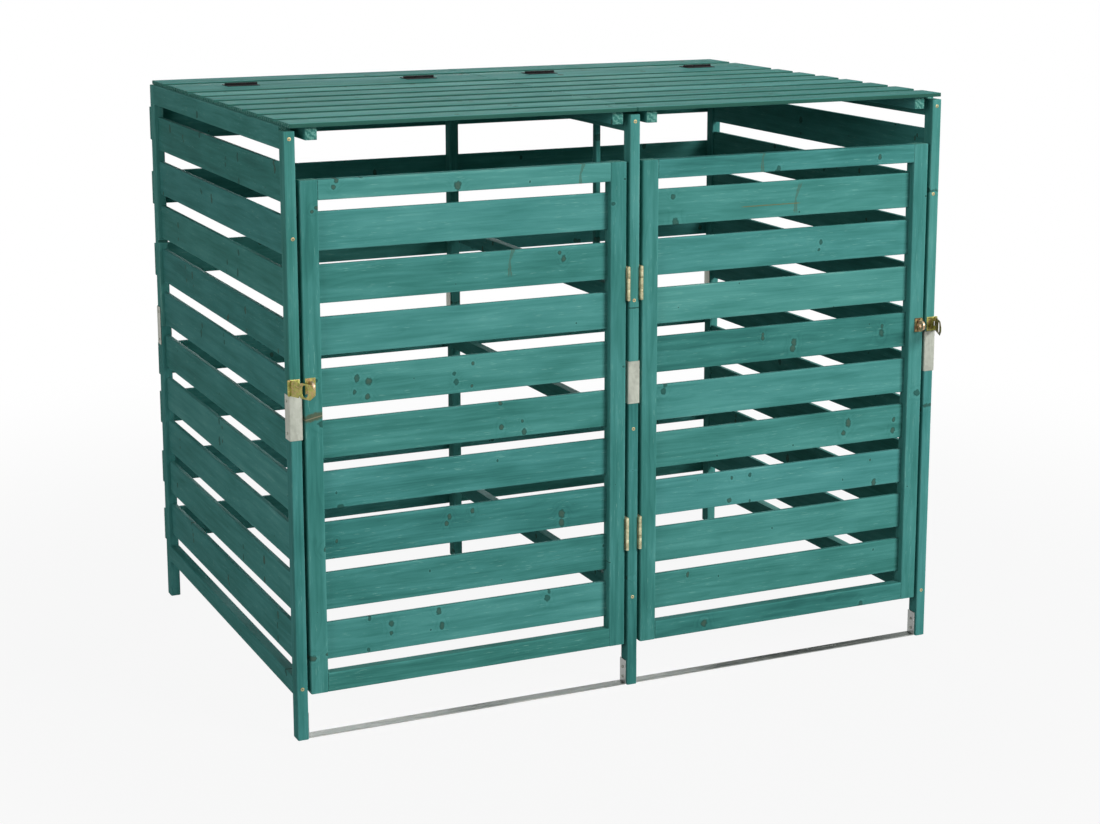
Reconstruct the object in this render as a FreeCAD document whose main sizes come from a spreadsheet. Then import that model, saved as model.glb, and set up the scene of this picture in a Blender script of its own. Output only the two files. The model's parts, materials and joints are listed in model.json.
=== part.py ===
"""Slatted store for two wheelie bins, with two doors and two lids.

Lengths are in millimetres. X runs along the front, Y from front to back and Z up.
The origin is on the ground, in the middle of the store's footprint, with the hasps swung open.
The store is the same on both sides of X = 0, so the left half is modelled and the right half
is its mirror image.
"""
import FreeCAD, Part
import os
import re
import Sketcher

DOC = FreeCAD.newDocument("wheelie_bin_store")

SIZES = {
    # frame
    "width": 1438,
    "depth": 980,
    "post_width": 22,
    "post_depth": 30,
    "lower_post_length": 639.5,
    "upper_post_length": 538.5,
    "rail_rise": 7,
    "top_rail_height": 42,
    "bottom_rail_height": 35,
    "bottom_rail_base": 86,
    # slats of the sides, the back and the doors
    "slat_height": 73.5,
    "slat_thickness": 10,
    "side_slat_inset": 8.5,
    "side_end_gap": 28.5,
    "back_top_drop": 43,
    "back_above_sleeve": 69.5,
    "back_below_sleeve": 0.5,
    "back_base": 129.5,
    "back_split": 2,
    # divider between the bays
    "divider_rail_height": 34,
    "divider_upper_base": 790,
    "divider_middle_base": 526,
    "divider_lower_base": 172,
    "strut_width": 10,
    "strut_depth": 17,
    "strut_setback": 166,
    # folded sleeves over the joints of the posts
    "sleeve_length": 87,
    "sleeve_flange": 26,
    "sleeve_sheet": 1.5,
    "sleeve_clearance": 0.5,
    # flat straps on the ground between the front posts
    "ground_strap_width": 25,
    "ground_strap_thickness": 2,
    "ground_strap_rise": 52,
    "ground_strap_setback": 5,
    # doors
    "door_gap": 7,
    "door_base": 90,
    "door_height": 996,
    "stile_width": 35,
    "stile_depth": 28,
    "door_rail_height": 38,
    "door_rail_depth": 22,
    "door_slat_inset": 14,
    "door_end_gap": 23.25,
    "door_hinge_length": 68,
    "door_hinge_reach": 25,
    "upper_hinge_height": 842,
    "lower_hinge_height": 325,
    # roof and lids
    "board_thickness": 8,
    "board_lap": 8,
    "lap_play": 0.2,
    "scoop_width": 32,
    "scoop_depth": 4,
    "hinge_gap": 3,
    "roof_front_overhang": 10,
    "roof_rear_overhang": 11.5,
    "roof_side_inset": 9,
    "roof_split": 2,
    "batten_width": 23,
    "batten_height": 25,
    "batten_outer_inset": 42,
    "batten_inner_inset": 26,
    "batten_front_setback": 2,
    "batten_rear_setback": 6.5,
    "lid_hinge_length": 72,
    "lid_hinge_reach": 24,
    "lid_hinge_radius": 3,
    "lid_hinge_outer": 155,
    "lid_hinge_inner": 150,
    # all hinges
    "leaf_thickness": 1.2,
    "pin_radius": 1.5,
    "pin_fit": 0.05,
    "knuckle_clearance": 0.3,
    "pin_end": 0.8,
    # hasps
    "hasp_height": 30,
    "hasp_reach": 22,
    "hasp_radius": 3,
    "hasp_outboard": 2,
    "hasp_above_sleeve": 1,
    "hasp_clearance": 0.3,
    "strap_length": 70,
    "strap_rest_angle": 65,
    "strap_waist": 28,
    "strap_waist_half": 4,
    "strap_waist_depth": 4,
    "strap_shoulder": 56,
    "strap_tip_height": 8,
    "slot_width": 16,
    "slot_height": 24,
    # turning staples
    "staple_plate_width": 20,
    "eye_reach": 42.5,
    "eye_height": 21,
    "eye_thickness": 5,
    "eye_projection": 22,
    "eye_hole_radius": 4.5,
    "neck_radius": 4,
    "rivet_radius": 6,
    "rivet_thickness": 1.5,
    "recess_clearance": 1,
    # screws
    "screw_radius": 1.5,
    "screw_head_radius": 3.6,
    "screw_head_height": 1.2,
    "frame_screw_length": 50,
    "sheet_screw_length": 8,
    "flush_head_radius": 2.4,
    "flush_screw_length": 8,
    "sleeve_screw_inset": 12,
    "ground_screw_low": 14,
    "ground_screw_high": 35,
    "hinge_screw_spacing": 48,
    "hasp_screw_spacing": 16,
}

DOOR_SLATS = 9
SIDE_SLATS = 10
ROOF_BOARDS = 10
FIXED_BOARDS = 2
SCOOP_STEPS = 5
# places of the middle back slats, as shares of the way from the top slat to the bottom slat
# of their group above or below the sleeve
UPPER_BACK_SHARES = (0, 0.47, 1)
LOWER_BACK_SHARES = (0, 0.29, 0.65, 1)

X_AXIS = FreeCAD.Vector(1, 0, 0)
Y_AXIS = FreeCAD.Vector(0, 1, 0)
Z_AXIS = FreeCAD.Vector(0, 0, 1)
NO_TURN = FreeCAD.Rotation()

# places that many pieces share, as formulas of the sizes
LEFT = "(-width / 2)"
REACH = "(hasp_radius + strap_length * sin(strap_rest_angle))"
FRONT = f"(({REACH} - depth - roof_rear_overhang) / 2)"
REAR = f"({FRONT} + depth)"
POST_TOP = "(lower_post_length + upper_post_length)"
ROOF_BASE = f"({POST_TOP} + rail_rise)"
ROOF_TOP = f"({ROOF_BASE} + board_thickness)"
TOP_RAIL_BASE = f"({ROOF_BASE} - top_rail_height)"
BOTTOM_RAIL_TOP = "(bottom_rail_base + bottom_rail_height)"
RAIL_LENGTH = "(depth - 2 * post_depth)"
BAY_LEFT = f"({LEFT} + post_width)"
BAY_RIGHT = "(-post_width / 2)"
BAY_WIDTH = f"({BAY_RIGHT} - {BAY_LEFT})"
SLEEVE_BASE = "(lower_post_length - sleeve_length / 2)"
SLEEVE_TOP = "(lower_post_length + sleeve_length / 2)"
DOOR_LEFT = f"({BAY_LEFT} + door_gap)"
DOOR_RIGHT = f"({BAY_RIGHT} - door_gap)"
DOOR_PIN_X = f"({BAY_RIGHT} - door_gap / 2)"
DOOR_PIN_Y = f"({FRONT} - door_gap / 2)"
LID_LEFT = f"({LEFT} + roof_side_inset)"
LID_LENGTH = f"(-roof_split / 2 - {LID_LEFT})"
ROOF_FRONT = f"({FRONT} - roof_front_overhang)"
ROOF_DEPTH = "(roof_front_overhang + depth + roof_rear_overhang)"
BOARD_COVER = f"(({ROOF_DEPTH} - hinge_gap) / {ROOF_BOARDS})"
LID_BOARDS = ROOF_BOARDS - FIXED_BOARDS
LID_REAR = f"({ROOF_FRONT} + {LID_BOARDS} * {BOARD_COVER})"
LID_PIN_Y = f"({LID_REAR} + hinge_gap / 2)"
LID_PIN_Z = f"({ROOF_TOP} + lid_hinge_radius)"
HASP_PIN_X = f"({LEFT} - hasp_outboard)"
HASP_PIN_Y = f"({FRONT} - hasp_radius)"
HASP_Z = f"({SLEEVE_TOP} + hasp_above_sleeve + hasp_height / 2)"
EYE_X = f"({HASP_PIN_X} + eye_reach)"
# the strap's two faces, measured back from its pin
STRAP_INNER = "(hasp_radius - leaf_thickness - hasp_clearance)"
STRAP_OUTER = f"({STRAP_INNER} - leaf_thickness)"
# the eye clears the closed strap, measured forward from the door's face
EYE_BASE = f"(hasp_radius - {STRAP_OUTER} + hasp_clearance)"

NODES = []


def formula(text):
    """Point each size named in a formula at its cell."""
    return re.sub(r"[a-z_]+", lambda word: "Sizes." + word[0] if word[0] in SIZES else word[0], text)


def bind(thing, **formulas):
    for name, text in formulas.items():
        thing.setExpression(name, formula(text))


def put(thing, x="0", y="0", z="0", turn=NO_TURN):
    """Place a thing, with its position driven by formulas."""
    thing.Placement = FreeCAD.Placement(FreeCAD.Vector(), turn)
    for letter, text in (("x", x), ("y", y), ("z", z)):
        thing.setExpression("Placement.Base." + letter, formula(text))
    return thing


def box(name, x, y, z, length, width, height):
    """A block with its lowest corner at x, y, z."""
    block = DOC.addObject("Part::Box", name)
    bind(block, Length=length, Width=width, Height=height)
    return put(block, x, y, z)


def rod(name, x, y, z, radius, length, turn=NO_TURN):
    """A cylinder that starts at x, y, z and runs along Z, or along the turned Z."""
    cylinder = DOC.addObject("Part::Cylinder", name)
    bind(cylinder, Radius=radius, Height=length)
    return put(cylinder, x, y, z, turn)


def group(name, pieces):
    """Separate solids that belong together."""
    compound = DOC.addObject("Part::Compound", name)
    compound.Links = pieces
    return compound


def fuse(name, pieces):
    joined = DOC.addObject("Part::MultiFuse", name)
    joined.Shapes = pieces
    joined.Refine = True
    return joined


def cut(name, base, tools):
    """The base with all tools taken away."""
    result = DOC.addObject("Part::Cut", name)
    result.Base = base
    result.Tool = tools[0] if len(tools) == 1 else group(name + "_tools", tools)
    return result


def copy(name, source, x, y, z, turn=NO_TURN):
    """The same piece again, at another place."""
    return put(group(name, [source]), x, y, z, turn)


def mirror(name, source):
    """The right hand counterpart of a left hand piece."""
    twin = DOC.addObject("Part::Mirroring", name)
    twin.Source = source
    twin.Normal = X_AXIS
    return twin


def node(name, piece):
    """Keep a piece as a finished sub-part."""
    piece.Label = name
    NODES.append(piece)
    return piece


def node_pair(name, piece):
    """Keep a left hand piece and its right hand twin as two sub-parts."""
    node("left_" + name, piece)
    node("right_" + name, mirror("mirrored_" + name, piece))


def node_both(name, piece):
    """Keep a left hand piece and its right hand twin together as one sub-part."""
    node(name, group(name, [piece, mirror("mirrored_" + name, piece)]))


def outline_body(name, corners, thickness):
    """A flat plate with a straight-sided outline in its own XY plane."""
    body = DOC.addObject("PartDesign::Body", name)
    sketch = body.newObject("Sketcher::SketchObject", name + "_outline")
    plane = next(item for item in body.Origin.OriginFeatures if item.Role == "XY_Plane")
    sketch.AttachmentSupport = [(plane, "")]
    sketch.MapMode = "FlatFace"
    count = len(corners)
    spots = [FreeCAD.Rotation(Z_AXIS, 360 * step / count).multVec(X_AXIS) for step in range(count)]
    for step in range(count):
        sketch.addGeometry(Part.LineSegment(spots[step], spots[(step + 1) % count]), False)
    for step in range(count):
        sketch.addConstraint(Sketcher.Constraint("Coincident", step, 2, (step + 1) % count, 1))
    for step, (along, across) in enumerate(corners):
        for kind, text, start in (("DistanceX", along, spots[step].x), ("DistanceY", across, spots[step].y)):
            place = sketch.addConstraint(Sketcher.Constraint(kind, -1, 1, step, 1, start))
            sketch.setExpression(f"Constraints[{place}]", formula(text))
    pad = body.newObject("PartDesign::Pad", name + "_pad")
    pad.Profile = sketch
    bind(pad, Length=thickness)
    body.Tip = pad
    return body


def screw(name, x, y, z, length, turn, sunk=False):
    """A screw whose head stands on the surface at x, y, z, or is sunk flush into it.

    Its point runs along the turned Z. The shank alone is given too, for the holes it needs.
    """
    shank = rod(name + "_shank", x, y, z, "screw_radius", length, turn)
    head_turn = turn if sunk else turn * FreeCAD.Rotation(X_AXIS, 180)
    head = rod(name + "_head", x, y, z, "screw_head_radius", "screw_head_height", head_turn)
    return shank, fuse(name, [shank, head])


INTO_BACK = FreeCAD.Rotation(Z_AXIS, Y_AXIS)
INTO_FRONT = FreeCAD.Rotation(Z_AXIS, -Y_AXIS)
INTO_RIGHT = FreeCAD.Rotation(Z_AXIS, X_AXIS)
INTO_LEFT = FreeCAD.Rotation(Z_AXIS, -X_AXIS)


def hinge_leaf(name, radius, length, reach, spacing, outer):
    """One leaf of a hinge, and its flush screws.

    The pin runs along Z through the origin. The plate lies against the plane x = -radius and
    runs towards +Y. The outer leaf carries the two end knuckles, the other the middle one.
    """
    bore = "pin_radius + pin_fit"
    start = f"({radius} + knuckle_clearance)"
    third = f"({length} / 3)"
    plate = box(name + "_plate", f"-{radius}", start, f"-{length} / 2", "leaf_thickness",
                f"{reach} - {start}", length)
    pieces = [plate]
    if outer:
        bases = (f"-{length} / 2", f"{third} / 2")
        height = third
    else:
        bases = (f"-{third} / 2 + knuckle_clearance",)
        height = f"{third} - 2 * knuckle_clearance"
    for count, base in enumerate(bases):
        pieces.append(rod(f"{name}_knuckle_{count}", "0", "0", base, radius, height))
        pieces.append(box(f"{name}_strip_{count}", f"-{radius}", "0", base, "leaf_thickness", start, height))
    hole = rod(name + "_bore", "0", "0", f"-{length}", bore, f"2 * {length}")
    screws = []
    for end, sign in (("low", "-"), ("high", "")):
        middle = f"({reach} + {start}) / 2"
        height = f"{sign}{spacing} / 2"
        shank = rod(f"{name}_shank_{end}", f"-{radius}", middle, height, "screw_radius",
                    "flush_screw_length", INTO_LEFT)
        head = rod(f"{name}_head_{end}", f"leaf_thickness - {radius}", middle, height, "flush_head_radius",
                   "leaf_thickness", INTO_LEFT)
        screws.append(fuse(f"{name}_screw_{end}", [shank, head]))
    screws = group(name + "_screws", screws)
    return cut(name, fuse(name + "_solid", pieces), [hole, screws]), screws


def post_halves(name, x, y, upper_length, screws_low, screws_high):
    """A post in two halves that meet under its sleeve, drilled for the screws it takes."""
    for half, base, length, screws in (("lower", "0", "lower_post_length", screws_low),
                                       ("upper", "lower_post_length", upper_length, screws_high)):
        blank = box(f"{name}_{half}_blank", x, y, base, "post_width", "post_depth", length)
        yield half, cut(f"{name}_{half}_half", blank, screws)


def slat_base(count, total, low, high, end_gap):
    """Lowest edge of one of the slats that are spread evenly between two rails."""
    gap = f"(({high} - {low} - 2 * {end_gap} - {total} * slat_height) / {total - 1})"
    return f"{low} + {end_gap} + {count} * (slat_height + {gap})"


def side_panel():
    """Rails and slats between the left posts, and the screws that hold them."""
    rails = {
        "top": (TOP_RAIL_BASE, "top_rail_height"),
        "bottom": ("bottom_rail_base", "bottom_rail_height"),
    }
    screws = {}
    for end, y, turn in (("front", FRONT, INTO_BACK), ("rear", REAR, INTO_FRONT)):
        for rail, (base, height) in rails.items():
            screws[end, rail] = screw(f"{end}_{rail}_rail_screw", f"{LEFT} + post_width / 2", y,
                                      f"{base} + {height} / 2", "frame_screw_length", turn, sunk=True)
        slat = slat_base(SIDE_SLATS - 2, SIDE_SLATS, BOTTOM_RAIL_TOP, TOP_RAIL_BASE, "side_end_gap")
        screws[end, "slat"] = screw(f"{end}_slat_screw",
                                    f"{LEFT} + side_slat_inset + slat_thickness / 2", y,
                                    f"{slat} + slat_height / 2", "frame_screw_length", turn, sunk=True)
    for rail, (base, height) in rails.items():
        blank = box(f"side_{rail}_rail_blank", LEFT, f"{FRONT} + post_depth", base, "post_width",
                    RAIL_LENGTH, height)
        holes = [screws["front", rail][0], screws["rear", rail][0]]
        node_pair(f"side_{rail}_rail", cut(f"side_{rail}_rail_piece", blank, holes))
    slats = []
    for count in range(SIDE_SLATS):
        base = slat_base(count, SIDE_SLATS, BOTTOM_RAIL_TOP, TOP_RAIL_BASE, "side_end_gap")
        slat = box(f"side_slat_{count}", f"{LEFT} + side_slat_inset", f"{FRONT} + post_depth", base,
                   "slat_thickness", RAIL_LENGTH, "slat_height")
        if count == SIDE_SLATS - 2:
            slat = cut("drilled_side_slat", slat, [screws["front", "slat"][0], screws["rear", "slat"][0]])
        slats.append(slat)
    node_pair("side_slats", group("side_slats_group", slats))
    return screws


def divider():
    """Rails and strut between the centre posts, and the screws that hold the rails."""
    rails = {
        "top": (TOP_RAIL_BASE, "top_rail_height"),
        "upper": ("divider_upper_base", "divider_rail_height"),
        "middle": ("divider_middle_base", "divider_rail_height"),
        "lower": ("divider_lower_base", "divider_rail_height"),
    }
    screws = {}
    pieces = {}
    for rail, (base, height) in rails.items():
        for end, y, turn in (("front", FRONT, INTO_BACK), ("rear", REAR, INTO_FRONT)):
            screws[end, rail] = screw(f"{end}_divider_{rail}_screw", "0", y, f"{base} + {height} / 2",
                                      "frame_screw_length", turn, sunk=True)
        blank = box(f"divider_{rail}_blank", BAY_RIGHT, f"{FRONT} + post_depth", base, "post_width",
                    RAIL_LENGTH, height)
        holes = [screws["front", rail][0], screws["rear", rail][0]]
        pieces[rail] = cut(f"divider_{rail}_piece", blank, holes)
    node("divider_top_rail", pieces.pop("top"))
    node("divider_rails", group("divider_rails_group", list(pieces.values())))
    strut_base = "(divider_upper_base + divider_rail_height)"
    node("divider_strut", box("divider_strut_piece", "-strut_width / 2", f"{FRONT} + strut_setback",
                              strut_base, "strut_width", "strut_depth", f"{TOP_RAIL_BASE} - {strut_base}"))
    return screws


def back():
    """Slats across the left bay on the rear faces of the posts."""
    top = f"({POST_TOP} - back_top_drop - slat_height)"
    above = f"({SLEEVE_TOP} + back_above_sleeve)"
    below = f"({SLEEVE_BASE} - back_below_sleeve - slat_height)"
    bases = [f"{top} + {share} * ({above} - {top})" for share in UPPER_BACK_SHARES]
    bases += [f"{below} + {share} * (back_base - {below})" for share in LOWER_BACK_SHARES]
    slats = [box(f"back_slat_{count}", LEFT, REAR, base, "width / 2 - back_split / 2", "slat_thickness",
                 "slat_height") for count, base in enumerate(bases)]
    node_pair("back_slats", group("back_slats_group", slats))


def sleeve(name, x, rear):
    """A sleeve folded round a post from its outer face, with its screws.

    x is the post's left face. The sleeves of the rear posts are turned to face the rear.
    """
    wrap = "(post_width + 2 * sleeve_clearance)"
    shell_x = f"{x} - sleeve_clearance - sleeve_sheet"
    shell_width = f"{wrap} + 2 * sleeve_sheet"
    shell_y = f"{REAR} - sleeve_flange" if rear else f"{FRONT} - sleeve_sheet"
    hollow_y = f"{REAR} - sleeve_flange - sleeve_sheet" if rear else FRONT
    shell = box(name + "_shell", shell_x, shell_y, SLEEVE_BASE, shell_width,
                "sleeve_flange + sleeve_sheet", "sleeve_length")
    hollow = box(name + "_hollow", f"{x} - sleeve_clearance", hollow_y, SLEEVE_BASE, wrap,
                 "sleeve_flange + sleeve_sheet", "sleeve_length")
    screw_y = f"{REAR} - post_depth / 2" if rear else f"{FRONT} + post_depth / 2"
    screws = {}
    for level, z in (("low", f"{SLEEVE_BASE} + sleeve_screw_inset"),
                     ("high", f"{SLEEVE_TOP} - sleeve_screw_inset")):
        screws[level] = [
            screw(f"{name}_{level}_left_screw", shell_x, screw_y, z, "sheet_screw_length", INTO_RIGHT),
            screw(f"{name}_{level}_right_screw", f"{shell_x} + {shell_width}", screw_y, z,
                      "sheet_screw_length", INTO_LEFT),
        ]
    shanks = [shank for level in screws.values() for shank, whole in level]
    return cut(name, shell, [hollow] + shanks), screws


def ground_strap():
    """A flat strap on the ground across the left doorway, turned up against both posts."""
    y = f"{FRONT} + ground_strap_setback"
    blank = box("ground_strap_blank", BAY_LEFT, y, "0", BAY_WIDTH, "ground_strap_width", "ground_strap_rise")
    inside = box("ground_strap_inside", f"{BAY_LEFT} + ground_strap_thickness", y, "ground_strap_thickness",
                 f"{BAY_WIDTH} - 2 * ground_strap_thickness", "ground_strap_width", "ground_strap_rise")
    screws = {"corner": [], "centre": []}
    for level in ("ground_screw_low", "ground_screw_high"):
        for end, x, turn in (("corner", f"{BAY_LEFT} + ground_strap_thickness", INTO_LEFT),
                             ("centre", f"{BAY_RIGHT} - ground_strap_thickness", INTO_RIGHT)):
            screws[end].append(screw(f"{end}_{level}", x, f"{y} + ground_strap_width / 2", level,
                                         "sheet_screw_length + ground_strap_thickness", turn))
    shanks = [shank for end in screws.values() for shank, whole in end]
    node_both("ground_straps", cut("ground_strap", blank, [inside] + shanks))
    return screws


def door():
    """The left door, its hinges and the screws that reach into the centre post."""
    sizes = ("(door_gap / 2)", "door_hinge_length", "door_hinge_reach", "hinge_screw_spacing")
    post_leaf, post_screws = hinge_leaf("door_post_leaf", *sizes, outer=True)
    door_leaf, door_screws = hinge_leaf("door_side_leaf", *sizes, outer=False)
    turned = FreeCAD.Rotation(Y_AXIS, 180)
    placed = {"post_leaf": [], "post_screws": [], "door_leaf": [], "door_screws": [], "pin": []}
    for level in ("upper_hinge_height", "lower_hinge_height"):
        spot = (DOOR_PIN_X, DOOR_PIN_Y, level)
        placed["post_leaf"].append(copy("post_leaf_" + level, post_leaf, *spot, turned))
        placed["post_screws"].append(copy("post_leaf_screws_" + level, post_screws, *spot, turned))
        placed["door_leaf"].append(copy("door_leaf_" + level, door_leaf, *spot))
        placed["door_screws"].append(copy("door_leaf_screws_" + level, door_screws, *spot))
        placed["pin"].append(rod("door_pin_" + level, DOOR_PIN_X, DOOR_PIN_Y,
                                 f"{level} - door_hinge_length / 2 - pin_end", "pin_radius",
                                 "door_hinge_length + 2 * pin_end"))
    node_both("door_hinge_post_leaves", group("door_hinge_post_leaf_pair", placed["post_leaf"]))
    node_both("door_hinge_pins", group("door_hinge_pin_pair", placed["pin"]))
    node_pair("door_hinge_leaves", group("door_hinge_leaf_pair", placed["door_leaf"]))

    plate, plate_screws, recess = staple_plate()
    node_pair("door_staple_plate", plate)
    stile = box("hinge_stile_blank", f"{DOOR_RIGHT} - stile_width", FRONT, "door_base", "stile_width",
                "stile_depth", "door_height")
    node_pair("door_hinge_stile", cut("hinge_stile", stile, placed["door_screws"]))
    stile = box("latch_stile_blank", DOOR_LEFT, FRONT, "door_base", "stile_width", "stile_depth",
                "door_height")
    node_pair("door_latch_stile", cut("latch_stile", stile, plate_screws + [recess]))
    node_pair("door_screws", group("door_screws_group", placed["door_screws"] + plate_screws))

    between = f"({DOOR_RIGHT} - {DOOR_LEFT} - 2 * stile_width)"
    inner_left = f"({DOOR_LEFT} + stile_width)"
    top = "(door_base + door_height)"
    node_pair("door_top_rail", box("door_top_rail", inner_left, FRONT, f"{top} - door_rail_height", between,
                                   "door_rail_depth", "door_rail_height"))
    node_pair("door_bottom_rail", box("door_bottom_rail", inner_left, FRONT, "door_base", between,
                                      "door_rail_depth", "door_rail_height"))
    slats = []
    for count in range(DOOR_SLATS):
        base = slat_base(count, DOOR_SLATS, "(door_base + door_rail_height)", f"({top} - door_rail_height)",
                         "door_end_gap")
        slats.append(box(f"door_slat_{count}", inner_left, f"{FRONT} + door_slat_inset", base, between,
                         "slat_thickness", "slat_height"))
    node_pair("door_slats", group("door_slats_group", slats))
    return dict(zip(("upper", "lower"), placed["post_screws"]))


def staple_plate():
    """The plate on the door that the padlock eye turns in, its screws and the recess behind it."""
    bore = rod("staple_bore", EYE_X, f"{FRONT} + post_depth", HASP_Z, "neck_radius + pin_fit",
               "2 * post_depth", INTO_FRONT)
    blank = box("staple_plate_blank", f"{EYE_X} - staple_plate_width / 2", f"{FRONT} - leaf_thickness",
                f"{HASP_Z} - hasp_height / 2", "staple_plate_width", "leaf_thickness", "hasp_height")
    screws = []
    for sign in ("-", "+"):
        for end in ("-", "+"):
            corner = (f"{EYE_X} {sign} (staple_plate_width / 2 - flush_head_radius - leaf_thickness)",
                      f"{HASP_Z} {end} (hasp_height / 2 - flush_head_radius - leaf_thickness)")
            name = f"staple_screw_{len(screws)}"
            shank = rod(name + "_shank", corner[0], FRONT, corner[1], "screw_radius", "flush_screw_length",
                        INTO_BACK)
            head = rod(name + "_head", corner[0], f"{FRONT} - leaf_thickness", corner[1],
                       "flush_head_radius", "leaf_thickness", INTO_BACK)
            screws.append(fuse(name, [shank, head]))
    recess = rod("staple_recess", EYE_X, FRONT, HASP_Z, "rivet_radius + recess_clearance",
                 "rivet_thickness + recess_clearance", INTO_BACK)
    return cut("staple_plate", blank, [bore] + screws), screws, recess


def turning_staple():
    """The padlock eye, upright, with its neck through the plate and its rivet head behind it."""
    nose = "(eye_height / 2)"
    forward = f"({FRONT} - eye_projection + {nose})"
    block = box("eye_block", f"{EYE_X} - eye_thickness / 2", forward, f"{HASP_Z} - {nose}", "eye_thickness",
                f"eye_projection - {nose} - {EYE_BASE}", "eye_height")
    rounding = rod("eye_nose", f"{EYE_X} - eye_thickness / 2", forward, HASP_Z, nose, "eye_thickness",
                   INTO_RIGHT)
    neck = rod("eye_neck", EYE_X, f"{FRONT} - {EYE_BASE}", HASP_Z, "neck_radius",
               f"{EYE_BASE} + pin_fit + rivet_thickness", INTO_BACK)
    rivet = rod("eye_rivet", EYE_X, f"{FRONT} + pin_fit", HASP_Z, "rivet_radius", "rivet_thickness",
                INTO_BACK)
    hole = rod("eye_hole", f"{EYE_X} - eye_thickness", forward, HASP_Z, "eye_hole_radius",
               "2 * eye_thickness", INTO_RIGHT)
    node_pair("turning_staple", cut("turning_eye", fuse("eye_solid", [block, rounding, neck, rivet]), [hole]))


def hasp():
    """The left hasp: leaf and pin on the post, and the strap that swings over the door."""
    leaf, leaf_screws = hinge_leaf("hasp_leaf", "hasp_radius", "hasp_height", "hasp_reach",
                                   "hasp_screw_spacing", outer=True)
    spot = (HASP_PIN_X, HASP_PIN_Y, HASP_Z)
    turned = FreeCAD.Rotation(Z_AXIS, -90)
    node_both("hasp_leaves", copy("hasp_leaf_placed", leaf, *spot, turned))
    screws = copy("hasp_screws_placed", leaf_screws, *spot, turned)
    node_both("hasp_pins", rod("hasp_pin", HASP_PIN_X, HASP_PIN_Y, f"{HASP_Z} - hasp_height / 2 - pin_end",
                               "pin_radius", "hasp_height + 2 * pin_end"))

    start = "(hasp_radius + knuckle_clearance)"
    half = "hasp_height / 2"
    tip = "strap_tip_height / 2"
    side = [
        (start, half),
        ("strap_waist - strap_waist_half", half),
        ("strap_waist", f"{half} - strap_waist_depth"),
        ("strap_waist + strap_waist_half", half),
        ("strap_shoulder", half),
        ("strap_length", tip),
    ]
    corners = side + [(along, f"-({across})") for along, across in reversed(side)]
    plate = put(outline_body("strap_plate", corners, "leaf_thickness"), y=STRAP_INNER,
                turn=FreeCAD.Rotation(X_AXIS, 90))
    third = "(hasp_height / 3)"
    base = f"-{third} / 2 + knuckle_clearance"
    height = f"{third} - 2 * knuckle_clearance"
    knuckle = rod("strap_knuckle", "0", "0", base, "hasp_radius", height)
    strip = box("strap_strip", "0", STRAP_OUTER, base, start, "leaf_thickness", height)
    bore = rod("strap_bore", "0", "0", "-hasp_height", "pin_radius + pin_fit", "2 * hasp_height")
    round_end = "(slot_height / 2 - slot_width / 2)"
    slot = [rod(f"strap_slot_{sign}", "eye_reach", "hasp_height", f"{sign} {round_end}", "slot_width / 2",
                "2 * hasp_height", INTO_FRONT) for sign in ("-", "+")]
    slot.append(box("strap_slot_middle", "eye_reach - slot_width / 2", "-hasp_height", f"-{round_end}",
                    "slot_width", "2 * hasp_height", f"2 * {round_end}"))
    strap = cut("hasp_strap_piece", fuse("strap_solid", [plate, knuckle, strip]), [bore] + slot)
    put(strap, *spot)
    strap.setExpression("Placement.Rotation.Angle", formula("-strap_rest_angle"))
    node_pair("hasp_strap", strap)
    return screws


def roof_board(name, rebated, scooped):
    """A roof board's outline from front to rear, drawn out over the width of a lid.

    Its scooped rear edge ends in a tongue, and the rebate under the next board's front edge
    laps over that tongue.
    """
    tongue = "(board_thickness - scoop_depth)"
    corners = [("0", "0")]
    if rebated:
        corners = [("board_lap + lap_play", "0"), ("board_lap + lap_play", f"{tongue} + lap_play"),
                   ("0", f"{tongue} + lap_play")]
    corners.append(("0", "board_thickness"))
    rear = BOARD_COVER
    if scooped:
        for step in range(SCOOP_STEPS):
            share = 1 - step / SCOOP_STEPS
            corners.append((f"{BOARD_COVER} - {share} * scoop_width",
                            f"{tongue} + {share * share} * scoop_depth"))
        rear = f"{BOARD_COVER} + board_lap"
        corners.append((rear, tongue))
    else:
        corners.append((rear, "board_thickness"))
    corners.append((rear, "0"))
    return outline_body(name, corners, LID_LENGTH)


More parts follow.
